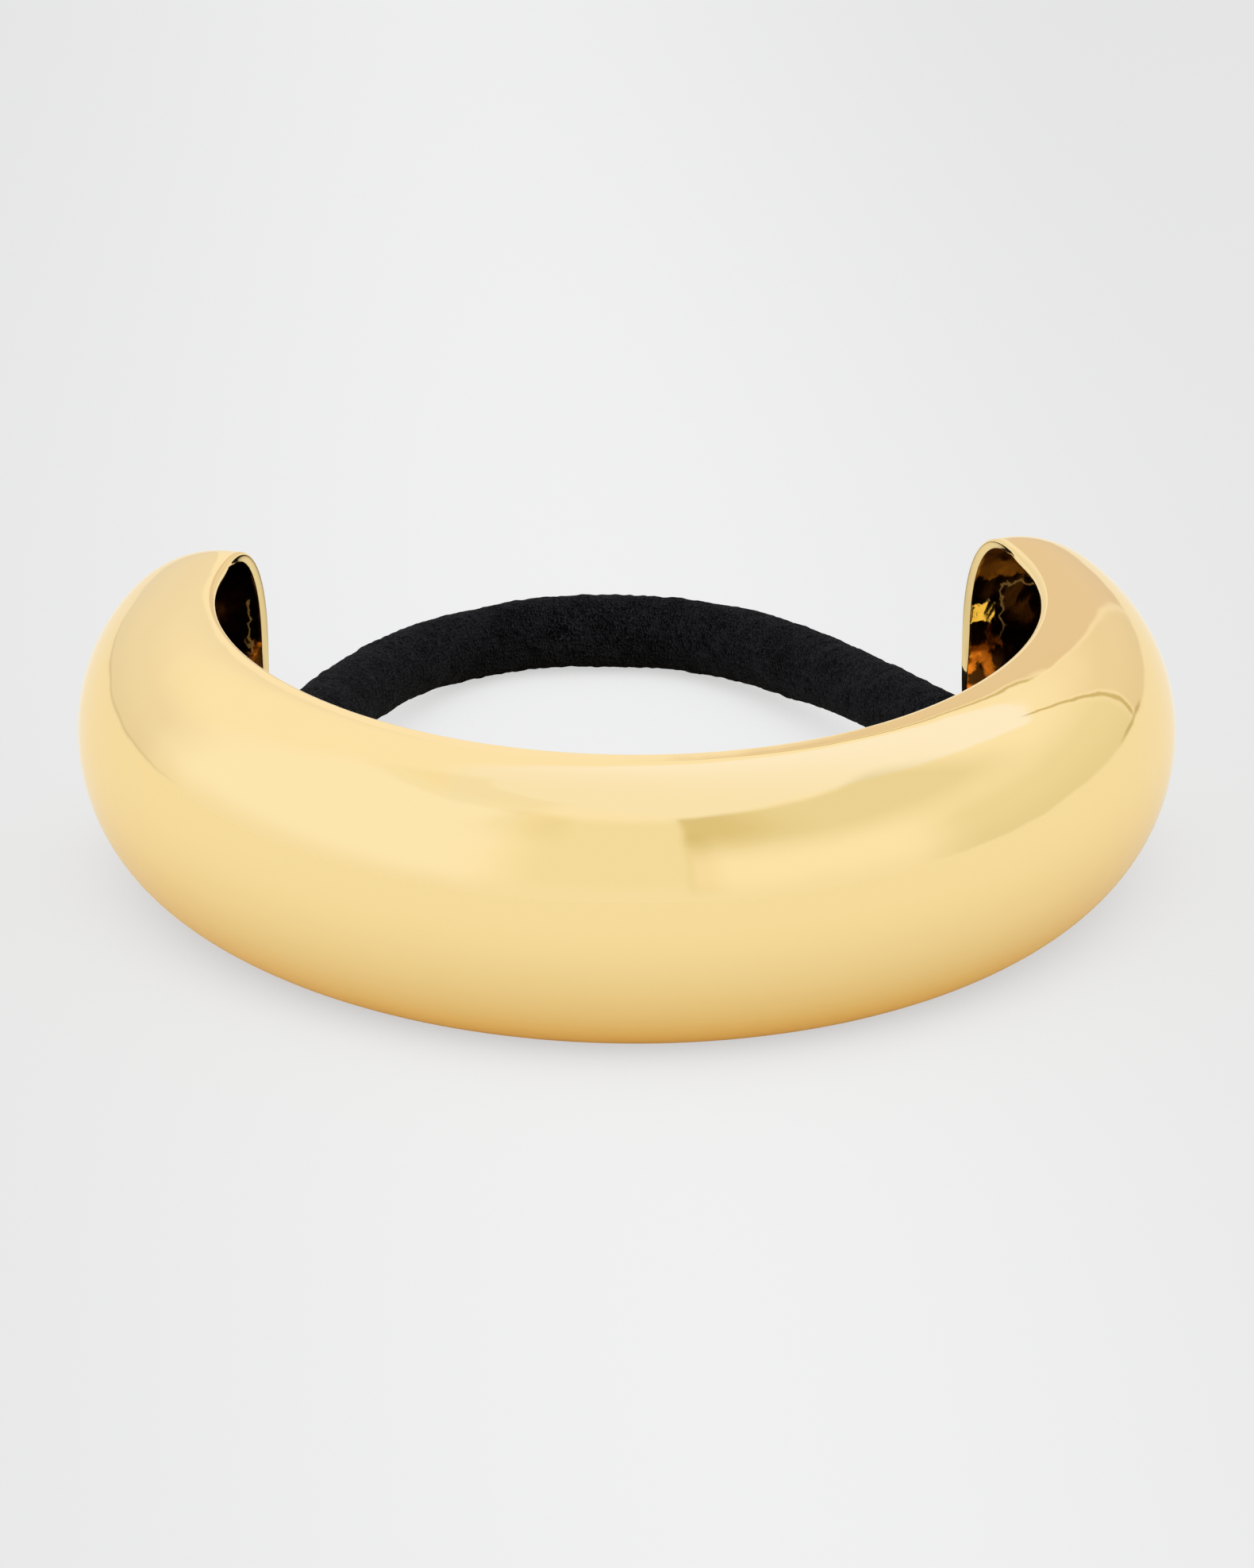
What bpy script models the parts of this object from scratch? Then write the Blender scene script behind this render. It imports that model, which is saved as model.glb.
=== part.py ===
"""Ponytail cuff: a puffed, hollow-backed metal cuff with a loop of hair elastic held behind a strap.

Metres, +Z up. The cuff stands on its lower rim at z = 0. Its front faces -Y and its two arms reach
back towards +Y. The origin is under the middle of the cuff's own box.
"""
from math import cos, pi, radians, sin

import bmesh
import bpy
from mathutils import Vector

# Plan of the rim, seen from above: an open oval, measured from the front round to each arm's end
RIM_HALF_WIDTH = 0.02445
RIM_FRONT_REACH = 0.0260
RIM_WAIST = 0.021             # share by which the oval draws in between the front and the sides
ARM_ANGLE = radians(122.0)
END_ANGLE = radians(13.0)     # the last stretch of an arm, over which its end is rounded

# Section of the puffed band: a narrow flat land at each rim, and half an ellipse that swells outwards
FRONT_HEIGHT = 0.0165
END_HEIGHT = 0.0171
FRONT_SWELL = 0.0070
END_SWELL = 0.0089
RIM_LAND = 0.0009
WALL = 0.0006
END_SQUARENESS = 2.85         # an arm's end seen from the side, where 2 is a true ellipse

# Strap soldered across the hollow at the front, and the elastic that it holds
STRAP_WIDTH = 0.0030
STRAP_THICKNESS = 0.0008
STRAP_SETBACK = 0.00015       # how far behind the rim's edge the strap lies
ELASTIC_DIAMETER = 0.0043

# Mesh steps
BAND_STEPS = 48
END_STEPS = 9
SECTION_STEPS = 18
ELASTIC_POINTS = 21
ROUTE_SUBSTEPS = 12

# The elastic's centre line, from the strap round by the right arm and the back to the strap again
ELASTIC_ROUTE = [
    (0.00025, -0.02095, 0.0068),
    (0.0045, -0.0206, 0.0068),
    (0.009, -0.0187, 0.0067),
    (0.013, -0.0152, 0.0066),
    (0.0163, -0.0106, 0.0065),
    (0.0189, -0.005, 0.0063),
    (0.0207, 0.001, 0.0061),
    (0.0214, 0.0075, 0.0058),
    (0.0209, 0.014, 0.0054),
    (0.0194, 0.019, 0.0051),
    (0.0179, 0.0229, 0.0047),
    (0.0153, 0.0305, 0.0039),
    (0.0127, 0.0371, 0.0031),
    (0.0099, 0.0421, 0.0026),
    (0.0069, 0.0455, 0.00225),
    (0.0038, 0.0472, 0.00215),
    (-0.0002, 0.0477, 0.00215),
    (-0.0043, 0.0472, 0.00215),
    (-0.0075, 0.0452, 0.0022),
    (-0.0108, 0.0413, 0.0027),
    (-0.0141, 0.0353, 0.0033),
    (-0.017, 0.027, 0.0042),
    (-0.018, 0.0229, 0.0047),
    (-0.0195, 0.0186, 0.0051),
    (-0.0209, 0.0135, 0.0054),
    (-0.0214, 0.0075, 0.0058),
    (-0.0207, 0.001, 0.0061),
    (-0.0189, -0.005, 0.0063),
    (-0.0163, -0.0106, 0.0065),
    (-0.013, -0.0152, 0.0066),
    (-0.009, -0.0187, 0.0067),
    (-0.0045, -0.0206, 0.0068),
    (-0.00025, -0.02095, 0.0068),
]

GOLD = (0.86, 0.62, 0.25, 1.0)
BLACK = (0.012, 0.012, 0.014, 1.0)


def clear_scene():
    for thing in list(bpy.data.objects):
        bpy.data.objects.remove(thing, do_unlink=True)


def make_material(name, colour, roughness, metallic):
    material = bpy.data.materials.new(name)
    material.use_nodes = True
    shader = material.node_tree.nodes["Principled BSDF"]
    shader.inputs["Base Color"].default_value = colour
    shader.inputs["Roughness"].default_value = roughness
    shader.inputs["Metallic"].default_value = metallic
    return material


def rim_point(angle):
    """Where the rim stands in plan, angle being measured from the front."""
    pull = 1 + RIM_WAIST * (cos(3 * angle) - 1)
    return Vector((RIM_HALF_WIDTH * sin(angle) * pull, -RIM_FRONT_REACH * cos(angle) * pull, 0))


def rim_outward(angle):
    """The level direction that points out of the rim, square to it."""
    step = radians(0.05)
    along = rim_point(angle + step) - rim_point(angle - step)
    return Vector((along.y, -along.x, 0)).normalized()


def band_stations(inset):
    """Angles of the sections along one arm, each with the share of full size that it keeps.

    The last sections follow a rounded corner down to a point. An inset skin ends earlier, by its
    inset at the arm's end.
    """
    inset_angle = inset / rim_point(ARM_ANGLE).length
    corner = END_ANGLE - inset_angle
    straight = ARM_ANGLE - END_ANGLE
    half_steps = BAND_STEPS // 2
    stations = [(straight * i / half_steps, 1.0) for i in range(half_steps)]
    for i in range(END_STEPS + 1):
        turn = pi / 2 * i / END_STEPS
        reach = sin(turn) ** (2 / END_SQUARENESS)
        stations.append((straight + corner * reach, abs(cos(turn)) ** (2 / END_SQUARENESS)))
    return stations


def section_points(angle, share, inset):
    """One section of a skin, from the upper rim over the swell to the lower rim."""
    reach = (angle / ARM_ANGLE) ** 2
    height = FRONT_HEIGHT + (END_HEIGHT - FRONT_HEIGHT) * reach
    swell = FRONT_SWELL + (END_SWELL - FRONT_SWELL) * reach
    half_height = (height / 2 - inset) * share
    land = RIM_LAND * share
    bulge = (swell - RIM_LAND - inset) * share
    outline = [(0, half_height)]
    for i in range(SECTION_STEPS + 1):
        turn = pi / 2 - pi * i / SECTION_STEPS
        outline.append((land + bulge * cos(turn), half_height * sin(turn)))
    outline.append((0, -half_height))
    foot = rim_point(angle) + Vector((0, 0, height / 2))
    return [foot + rim_outward(angle) * out + Vector((0, 0, up)) for out, up in outline]


def add_skin(bm, inset):
    """One skin of the shell. Returns the sections' vertices, from the left arm's end to the right's."""
    arm = band_stations(inset)
    stations = [(-angle, share) for angle, share in reversed(arm[1:])] + arm
    columns = []
    for angle, share in stations[1:-1]:
        columns.append([bm.verts.new(point) for point in section_points(angle, share, inset)])
    for angle, _ in (stations[0], stations[-1]):
        tip = rim_point(angle) + Vector((0, 0, END_HEIGHT / 2))
        columns.insert(len(columns) if angle > 0 else 0, [bm.verts.new(tip)])
    return columns


def span_columns(bm, columns):
    """Faces between neighbouring sections, with fans at the two tips."""
    for left, right in zip(columns, columns[1:]):
        for i in range(SECTION_STEPS + 2):
            if len(left) == 1:
                bm.faces.new((left[0], right[i], right[i + 1]))
            elif len(right) == 1:
                bm.faces.new((left[i], right[0], left[i + 1]))
            else:
                bm.faces.new((left[i], right[i], right[i + 1], left[i + 1]))


def rim_loop(columns):
    """The skin's free edge: along the upper rim, round the right tip and back along the lower rim."""
    upper = [column[0] for column in columns]
    lower = [column[-1] for column in columns[1:-1]]
    return upper + lower[::-1]


def make_shell(material):
    """The puffed shell: an outer skin, an inner skin one wall inside it, and the rim between them."""
    bm = bmesh.new()
    outer = add_skin(bm, 0.0)
    inner = add_skin(bm, WALL)
    span_columns(bm, outer)
    span_columns(bm, inner)
    outer_rim = rim_loop(outer)
    inner_rim = rim_loop(inner)
    for i in range(len(outer_rim)):
        following = (i + 1) % len(outer_rim)
        bm.faces.new((outer_rim[i], outer_rim[following], inner_rim[following], inner_rim[i]))
    bmesh.ops.recalc_face_normals(bm, faces=bm.faces)
    reaches = [vertex.co.y for vertex in bm.verts]
    middle = (min(reaches) + max(reaches)) / 2
    mesh = bpy.data.meshes.new("cuff_shell")
    bm.to_mesh(mesh)
    bm.free()
    mesh.shade_smooth()
    mesh.set_sharp_from_angle(angle=radians(50))
    mesh.materials.append(material)
    shell = bpy.data.objects.new("cuff_shell", mesh)
    shell.location.y = -middle
    bpy.context.collection.objects.link(shell)
    return shell


def solder_strap(shell, material):
    """A flat strap across the hollow, its ends sunk into the upper and lower walls."""
    bpy.ops.mesh.primitive_cube_add(size=1)
    strap = bpy.context.active_object
    strap.name = "strap_guide"
    strap.dimensions = (STRAP_WIDTH, STRAP_THICKNESS, FRONT_HEIGHT - WALL)
    bpy.ops.object.transform_apply(location=False, rotation=False, scale=True)
    strap.data.materials.append(material)
    strap.parent = shell
    depth = STRAP_SETBACK + STRAP_THICKNESS / 2
    strap.location = (0, -RIM_FRONT_REACH - depth, FRONT_HEIGHT / 2)
    strap.hide_render = True
    strap.display_type = "WIRE"
    joint = shell.modifiers.new("solder", "BOOLEAN")
    joint.operation = "UNION"
    joint.solver = "EXACT"
    joint.object = strap


def smooth_route(points):
    """Many points on a smooth curve that passes through the given points."""
    knots = [Vector(p) for p in points]
    knots = [2 * knots[0] - knots[1]] + knots + [2 * knots[-1] - knots[-2]]
    line = []
    for a, b, c, d in zip(knots, knots[1:], knots[2:], knots[3:]):
        for i in range(ROUTE_SUBSTEPS):
            t = i / ROUTE_SUBSTEPS
            line.append(0.5 * (2 * b + (c - a) * t + (2 * a - 5 * b + 4 * c - d) * t ** 2
                               + (3 * b - a - 3 * c + d) * t ** 3))
    line.append(knots[-2])
    return line


def even_points(line, count):
    """Points at equal distances along a line."""
    travelled = [0.0]
    for a, b in zip(line, line[1:]):
        travelled.append(travelled[-1] + (b - a).length)
    points = []
    at = 0
    for i in range(count):
        wanted = travelled[-1] * i / (count - 1)
        while at < len(line) - 2 and travelled[at + 1] < wanted:
            at += 1
        share = (wanted - travelled[at]) / (travelled[at + 1] - travelled[at])
        points.append(line[at].lerp(line[at + 1], share))
    return points


def make_elastic(material):
    """The elastic: one round cord whose two ends meet behind the strap."""
    curve = bpy.data.curves.new("elastic_loop", "CURVE")
    curve.dimensions = "3D"
    curve.bevel_depth = ELASTIC_DIAMETER / 2
    curve.bevel_resolution = 2
    curve.use_fill_caps = True
    spline = curve.splines.new("POLY")
    points = even_points(smooth_route(ELASTIC_ROUTE), ELASTIC_POINTS)
    spline.points.add(len(points) - 1)
    for slot, point in zip(spline.points, points):
        slot.co = (*point, 1)
    curve.materials.append(material)
    elastic = bpy.data.objects.new("elastic_loop", curve)
    bpy.context.collection.objects.link(elastic)


def main():
    clear_scene()
    gold = make_material("gold_plate", GOLD, 0.12, 1.0)
    shell = make_shell(gold)
    solder_strap(shell, gold)
    make_elastic(make_material("elastic_knit", BLACK, 0.9, 0.0))


main()
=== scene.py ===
from math import ceil, cos, pi, radians, sin

import bpy
import numpy as np
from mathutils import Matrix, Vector, noise


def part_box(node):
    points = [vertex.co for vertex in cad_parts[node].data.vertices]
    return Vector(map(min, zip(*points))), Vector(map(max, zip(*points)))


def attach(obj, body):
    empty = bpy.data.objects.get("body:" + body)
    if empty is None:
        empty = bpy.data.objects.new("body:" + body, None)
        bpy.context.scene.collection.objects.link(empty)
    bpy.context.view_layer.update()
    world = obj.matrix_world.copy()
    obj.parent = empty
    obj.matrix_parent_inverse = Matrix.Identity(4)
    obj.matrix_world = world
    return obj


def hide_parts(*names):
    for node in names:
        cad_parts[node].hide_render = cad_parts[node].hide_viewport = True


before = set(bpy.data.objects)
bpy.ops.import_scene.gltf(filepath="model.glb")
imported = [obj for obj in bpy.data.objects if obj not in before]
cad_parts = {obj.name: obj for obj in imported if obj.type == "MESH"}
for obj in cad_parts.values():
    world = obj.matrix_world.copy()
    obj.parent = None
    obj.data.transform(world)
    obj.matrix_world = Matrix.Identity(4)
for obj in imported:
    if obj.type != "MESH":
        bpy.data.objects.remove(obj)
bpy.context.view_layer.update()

# Camera. The photo looks at the cuff from half a metre away, 19 degrees above level and a few degrees
# from its left. It aims just below the cuff's middle, so the cuff sits a little above the picture's middle.
PHOTO_HEIGHT_PX = 1975
FOCAL_PX = 10800
SENSOR = 36.0
CAMERA_DISTANCE = 0.5
CAMERA_ELEVATION = radians(19.0)
CAMERA_TURN = radians(-3.31)
AIM_BELOW = 0.00252
AIM_LEFT = 0.00014

shell_low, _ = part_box("cuff_shell")
camera_back = Vector((
    sin(CAMERA_TURN) * cos(CAMERA_ELEVATION),
    -cos(CAMERA_TURN) * cos(CAMERA_ELEVATION),
    sin(CAMERA_ELEVATION),
))
camera_right = Vector((cos(CAMERA_TURN), sin(CAMERA_TURN), 0))
camera_up = camera_back.cross(camera_right)
cuff_middle = Vector((0, 0.00851, 0.00825))
camera_place = cuff_middle + camera_back * CAMERA_DISTANCE
camera_aim = cuff_middle - camera_up * AIM_BELOW - camera_right * AIM_LEFT
bpy.ops.object.select_all(action="DESELECT")
bpy.ops.object.camera_add(
    location=camera_place,
    rotation=(camera_aim - camera_place).to_track_quat("-Z", "Y").to_euler(),
)
camera = bpy.context.active_object
camera.name = "camera"
camera.data.sensor_width = SENSOR
camera.data.lens = FOCAL_PX / PHOTO_HEIGHT_PX * SENSOR
camera.data.clip_start = 0.01
camera.data.clip_end = 20.0
bpy.context.scene.camera = camera
bpy.context.scene.view_settings.view_transform = "Standard"


# Table. A plain, matt, white sheet that the cuff lies on, as wide as a studio table. To the lens it mostly
# shows a glow that only the lens sees: an even pale grey, with painted shade a little darker towards the
# picture's edges, and a painted shadow close round the cuff. A painted warm light warms the sheet under the
# plate.
TABLE_SIZE = 3.0
TABLE_WHITE = (0.985, 0.965, 0.87, 1.0)
TABLE_GLOW = (0.868, 0.870, 0.876, 1.0)
TABLE_GLOW_SHARE = 0.92
SIDE_FADE = (0.0, 0.050, 0.09)       # from, to and how much darker
BACK_FADE = (0.05, 0.25, 0.03)
SHADOW_REACH = 0.04
SHADOW_SAMPLES = 6
SHADOW_RANGE = (-0.3, 0.65, 0.60, 1.0)  # share of the sky seen, from and to, and the glow's strength there, a painted shadow
PAINTED_BOUNCE_RANGE = (0.05, 0.50, 1.0, 0.0)     # the same, and how much painted warm bounce light the sheet takes there
PAINTED_BOUNCE_LIGHT = (1.0, 0.66, 0.22, 1.0)
PAINTED_BOUNCE_STRENGTH = 0.10
PAINTED_BOUNCE_WHITE = (1.0, 0.90, 0.60, 1.0)


def linear(hex_colour):
    """The linear RGBA of an sRGB hex colour."""
    parts = [int(hex_colour[i:i + 2], 16) / 255 for i in (1, 3, 5)]
    return [p / 12.92 if p <= 0.04045 else ((p + 0.055) / 1.055) ** 2.4 for p in parts] + [1.0]


def add_node(tree, kind, settings=(), inputs=()):
    """One node, with its properties, and with the values or the links of its sockets."""
    node = tree.nodes.new(kind)
    for name, value in dict(settings).items():
        setattr(node, name, value)
    for name, value in dict(inputs).items():
        if isinstance(value, bpy.types.NodeSocket):
            tree.links.new(value, node.inputs[name])
        else:
            node.inputs[name].default_value = value
    return node


def new_material(name):
    """A named material, with its tree and its Principled shader."""
    material = bpy.data.materials.new(name)
    material.use_nodes = True
    tree = material.node_tree
    return material, tree, tree.nodes["Principled BSDF"]


bpy.ops.object.select_all(action="DESELECT")
bpy.ops.mesh.primitive_plane_add(size=TABLE_SIZE, location=(0, 0, 0))
table = bpy.context.active_object
table.name = "table"
paper, paper_tree, paper_shader = new_material("matt_paper_sweep")
paper_shader.inputs["Roughness"].default_value = 0.95
paper_shader.inputs["Specular IOR Level"].default_value = 0.1
table_place = add_node(paper_tree, "ShaderNodeSeparateXYZ", inputs={
    0: add_node(paper_tree, "ShaderNodeTexCoord").outputs["Object"]})
off_middle = add_node(
    paper_tree, "ShaderNodeMath", {"operation": "ABSOLUTE"}, {0: table_place.outputs["X"]})
open_sky = add_node(paper_tree, "ShaderNodeAmbientOcclusion", {"samples": SHADOW_SAMPLES},
                    {"Distance": SHADOW_REACH}).outputs["AO"]
glow_with_painted_shade, painted_bounce = [
    add_node(paper_tree, "ShaderNodeMapRange", {"interpolation_type": "SMOOTHSTEP"},
             {"Value": open_sky, "From Min": start, "From Max": end,
              "To Min": first, "To Max": last}).outputs[0]
    for start, end, first, last in (SHADOW_RANGE, PAINTED_BOUNCE_RANGE)]
# Painted shade: the glow is made darker towards the table's sides and its back
for place, (start, end, loss) in ((off_middle.outputs[0], SIDE_FADE), (table_place.outputs["Y"], BACK_FADE)):
    fade = add_node(paper_tree, "ShaderNodeMapRange", {"interpolation_type": "SMOOTHSTEP"},
                    {"Value": place, "From Min": start, "From Max": end, "To Min": 1.0, "To Max": 1 - loss})
    glow_with_painted_shade = add_node(paper_tree, "ShaderNodeMath", {"operation": "MULTIPLY"},
                             {0: glow_with_painted_shade, 1: fade.outputs[0]}).outputs[0]
glow = add_node(paper_tree, "ShaderNodeEmission", inputs={"Color": TABLE_GLOW, "Strength": glow_with_painted_shade})
# Painted warm light: where the cuff hides the sky the sheet gets a warmer white and a faint warm glow,
# standing in for light that the plate throws down
paper_white_and_bounce = add_node(paper_tree, "ShaderNodeMix", {"data_type": "RGBA"},
                       {0: painted_bounce, 6: TABLE_WHITE, 7: PAINTED_BOUNCE_WHITE})
painted_bounce_strength = add_node(paper_tree, "ShaderNodeMath", {"operation": "MULTIPLY"},
                         {0: painted_bounce, 1: PAINTED_BOUNCE_STRENGTH})
paper_tree.links.new(paper_white_and_bounce.outputs[2], paper_shader.inputs["Base Color"])
paper_shader.inputs["Emission Color"].default_value = PAINTED_BOUNCE_LIGHT
paper_tree.links.new(painted_bounce_strength.outputs[0], paper_shader.inputs["Emission Strength"])
seen = add_node(paper_tree, "ShaderNodeLightPath").outputs["Is Camera Ray"]
glow_share = add_node(paper_tree, "ShaderNodeMath", {"operation": "MULTIPLY"},
                      {0: seen, 1: TABLE_GLOW_SHARE})
lit_paper = add_node(paper_tree, "ShaderNodeMixShader", inputs={
    0: glow_share.outputs[0], 1: paper_shader.outputs[0], 2: glow.outputs[0]})
paper_tree.links.new(lit_paper.outputs[0], paper_tree.nodes["Material Output"].inputs["Surface"])
table.data.materials.append(paper)


# Light. A tent of white cloths round the table, lit evenly from outside, with a slot for the lens and a long
# soft lamp overhead that lies slantwise. The polished plate shows little else than these.
# A cloth's bearing is in degrees from the camera's side of the table, with the right positive, and its
# rise is in degrees above the table. Each edge fades in or out between the two values given.
TENT_CLOTHS = [
    # left edge, right edge, lower edge, upper edge, tint
    ((-400, -399), (399, 400), (-91, -90), (0, 14), (0.942, 0.94, 0.912)),     # foot of the cloths
    ((-135, -110), (-52, -34), (0, 12), (58, 64), (1.00, 1.03, 1.11)),         # wall on the left
    ((-135, -115), (-48, -30), (54, 58), (70, 72), (0.96, 0.95, 0.88)),        # gap between it and the lamp
    ((-44, -24), (9, 13), (0, 14), (52, 62), (0.921, 0.922, 0.848)),           # slot for the lens
    ((-56, -44), (-32, -20), (30, 50), (55, 62), (0.94, 0.93, 0.86)),          # fold at its left corner
    ((9, 13), (95, 120), (20, 38), (56, 61), (0.846, 0.84, 0.743)),            # upper wall on the right
    ((9, 13), (20, 54), (28, 46), (56, 60), (0.88, 0.835, 0.665)),             # its dull corner by the slot
    ((8, 11), (14, 20), (0, 8), (40, 48), (0.94, 0.93, 0.88)),                 # the slot's right edge
    ((62, 84), (131, 134), (-1, 1), (14, 34), (0.87, 0.866, 0.766)),           # lower wall on the right
    ((134.5, 136), (156, 159), (-1, 1), (16, 36), (0.86, 0.82, 0.755)),        # wall behind, on the right
    ((157.5, 159.5), (174.6, 176.6), (-1, 1), (27, 29), (0.81, 0.735, 0.68)),  # brown card behind
    ((-182, -181), (-132, -112), (-1, 1), (14, 34), (0.875, 0.87, 0.87)),      # wall behind, on the left
    ((132.8, 133.3), (134.2, 134.7), (1, 3), (34, 37), (0.62, 0.56, 0.35)),    # seam of the right-hand walls
    ((158, 161), (174, 177), (28.6, 29.2), (30.2, 31), (0.66, 0.60, 0.42)),    # upper edge of the card
    ((124, 130), (136, 139), (0.1, 0.5), (1.3, 1.8), (0.72, 0.68, 0.55)),      # foot of the seam
    ((-168, -155), (-126, -112), (0.1, 0.5), (1.0, 1.5), (0.88, 0.86, 0.80)),  # gap under the left-hand wall
]
# The lamp's middle, its turn and its edges are given on a level sheet one unit above the table: its long
# axis runs from the front on the left to the back on the right. Its far half is brighter
LAMP_MIDDLE = (0.25, 0.35, 0)
LAMP_TURN = (0, 0, radians(60.0))
LAMP = ((-1.12, -0.72), (0.90, 1.02), (-0.58, -0.48), (0.44, 0.54), (0.973, 1.0, 1.09))
LAMP_FAR_HALF = ((-0.6, 0.6), (0.90, 1.02), (-0.58, -0.48), (0.44, 0.54), (1.04, 1.08, 1.27))
LAMP_LOWEST = 0.01        # how steeply a ray has to rise to be followed to that sheet

world = bpy.data.worlds.new("light_tent")
bpy.context.scene.world = world
world.use_nodes = True
sky = world.node_tree
direction = add_node(sky, "ShaderNodeTexCoord").outputs["Generated"]
way = add_node(sky, "ShaderNodeSeparateXYZ", inputs={0: direction}).outputs
frontward = add_node(sky, "ShaderNodeMath", {"operation": "MULTIPLY"}, {0: way["Y"], 1: -1.0}).outputs[0]
bearing = add_node(sky, "ShaderNodeMath", {"operation": "ARCTAN2"}, {0: way["X"], 1: frontward}).outputs[0]
bearing = add_node(sky, "ShaderNodeMath", {"operation": "DEGREES"}, {0: bearing}).outputs[0]
rise = add_node(sky, "ShaderNodeMath", {"operation": "ARCSINE"}, {0: way["Z"]}).outputs[0]
rise = add_node(sky, "ShaderNodeMath", {"operation": "DEGREES"}, {0: rise}).outputs[0]
height = add_node(sky, "ShaderNodeMath", {"operation": "MAXIMUM"}, {0: way["Z"], 1: LAMP_LOWEST}).outputs[0]
overhead = add_node(sky, "ShaderNodeVectorMath", {"operation": "DIVIDE"}, {0: direction, 1: height})
lamp_sheet = add_node(sky, "ShaderNodeMapping", {"vector_type": "TEXTURE"}, {
    "Vector": overhead.outputs[0], "Location": LAMP_MIDDLE, "Rotation": LAMP_TURN}).outputs[0]
lamp_along, lamp_across = add_node(sky, "ShaderNodeSeparateXYZ", inputs={0: lamp_sheet}).outputs[:2]


def hang_cloth(colour, across, over, left, right, lower, upper, tint):
    """Tints the tent's colour inside a cloth's four soft edges, and returns the colour."""
    mask = None
    for value, (start, end), (first, last) in (
            (across, left, (0, 1)), (across, right, (1, 0)), (over, lower, (0, 1)), (over, upper, (1, 0))):
        edge = add_node(
            sky, "ShaderNodeMapRange", {"interpolation_type": "SMOOTHSTEP"},
            {"Value": value, "From Min": start, "From Max": end, "To Min": first, "To Max": last}).outputs[0]
        mask = edge if mask is None else add_node(
            sky, "ShaderNodeMath", {"operation": "MULTIPLY"}, {0: mask, 1: edge}).outputs[0]
    return add_node(sky, "ShaderNodeMix", {"data_type": "RGBA", "blend_type": "MULTIPLY"},
                    {0: mask, 6: colour, 7: (*tint, 1)}).outputs[2]


tent_colour = add_node(sky, "ShaderNodeRGB").outputs[0]
tent_colour.default_value = (1, 1, 1, 1)
for cloth in TENT_CLOTHS:
    tent_colour = hang_cloth(tent_colour, bearing, rise, *cloth)
for lamp in (LAMP, LAMP_FAR_HALF):
    tent_colour = hang_cloth(tent_colour, lamp_along, lamp_across, *lamp)
sky.links.new(tent_colour, sky.nodes["Background"].inputs["Color"])
world.cycles.sampling_method = "NONE"     # it is lit nearly evenly, so no part of it is sought out


# Elastic. A rubber core in a knitted black nylon cover, one loop that the strap holds in the front hollow.
# Its hidden ends meet behind the strap. It lies on the table at the back.
ELASTIC_DIAMETER = 0.0043
ELASTIC_SIDES = 60
RING_SPACING = 0.000127   # the mesh has one ring of corners every so far along the cord
ROUTE_SUBSTEPS = 16

# The centre line in metres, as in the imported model: from the strap round by the right arm and the back
ELASTIC_ROUTE = [
    (0.00025, -0.02095, 0.0068),
    (0.0045, -0.0206, 0.0068),
    (0.009, -0.0187, 0.0067),
    (0.013, -0.0152, 0.0066),
    (0.0163, -0.0106, 0.0065),
    (0.0189, -0.005, 0.0063),
    (0.0207, 0.001, 0.0061),
    (0.0214, 0.0075, 0.0058),
    (0.0209, 0.014, 0.0054),
    (0.0194, 0.019, 0.0051),
    (0.0179, 0.0229, 0.0047),
    (0.0153, 0.0305, 0.0039),
    (0.0127, 0.0371, 0.0031),
    (0.0099, 0.0421, 0.0026),
    (0.0069, 0.0455, 0.00225),
    (0.0038, 0.0472, 0.00215),
    (-0.0002, 0.0477, 0.00215),
    (-0.0043, 0.0472, 0.00215),
    (-0.0075, 0.0452, 0.0022),
    (-0.0108, 0.0413, 0.0027),
    (-0.0141, 0.0353, 0.0033),
    (-0.017, 0.027, 0.0042),
    (-0.018, 0.0229, 0.0047),
    (-0.0195, 0.0186, 0.0051),
    (-0.0209, 0.0135, 0.0054),
    (-0.0214, 0.0075, 0.0058),
    (-0.0207, 0.001, 0.0061),
    (-0.0189, -0.005, 0.0063),
    (-0.0163, -0.0106, 0.0065),
    (-0.013, -0.0152, 0.0066),
    (-0.009, -0.0187, 0.0067),
    (-0.0045, -0.0206, 0.0068),
    (-0.00025, -0.02095, 0.0068),
]
# The cover is a little uneven: the size of its lumps and how far each kind rises or sinks
LUMPS = [
    (0.0038, 0.00009),
    (0.0011, 0.00005),
    (0.00045, 0.00007),
]
COVER_SLACK = 0.00006
# At the back, right of the middle, the cover has bunched up, so the cord is thicker there and bows forward
BUNCH_ENDS = (-0.010, -0.001, 0.011, 0.017)     # from left to right: where it starts, is full, and ends
BUNCH_START = (0.027, 0.038)                    # the same from front to back
BUNCH_SWELL = 0.00016
BUNCH_BOW = 0.0007


def smooth_route(points):
    """Many points on a smooth curve that passes through the given points."""
    knots = [Vector(p) for p in points]
    knots = [2 * knots[0] - knots[1]] + knots + [2 * knots[-1] - knots[-2]]
    line = []
    for a, b, c, d in zip(knots, knots[1:], knots[2:], knots[3:]):
        for i in range(ROUTE_SUBSTEPS):
            t = i / ROUTE_SUBSTEPS
            line.append(0.5 * (2 * b + (c - a) * t + (2 * a - 5 * b + 4 * c - d) * t ** 2
                               + (3 * b - a - 3 * c + d) * t ** 3))
    line.append(knots[-2])
    return line


def even_points(line, spacing):
    """Points at equal distances along a line, about spacing apart, and the line's length."""
    places = np.array([tuple(p) for p in line])
    travelled = np.concatenate([[0], np.cumsum(np.linalg.norm(np.diff(places, axis=0), axis=1))])
    length = float(travelled[-1])
    wanted = np.linspace(0, length, ceil(length / spacing) + 1)
    return np.stack([np.interp(wanted, travelled, places[:, k]) for k in range(3)], 1), length


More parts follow.
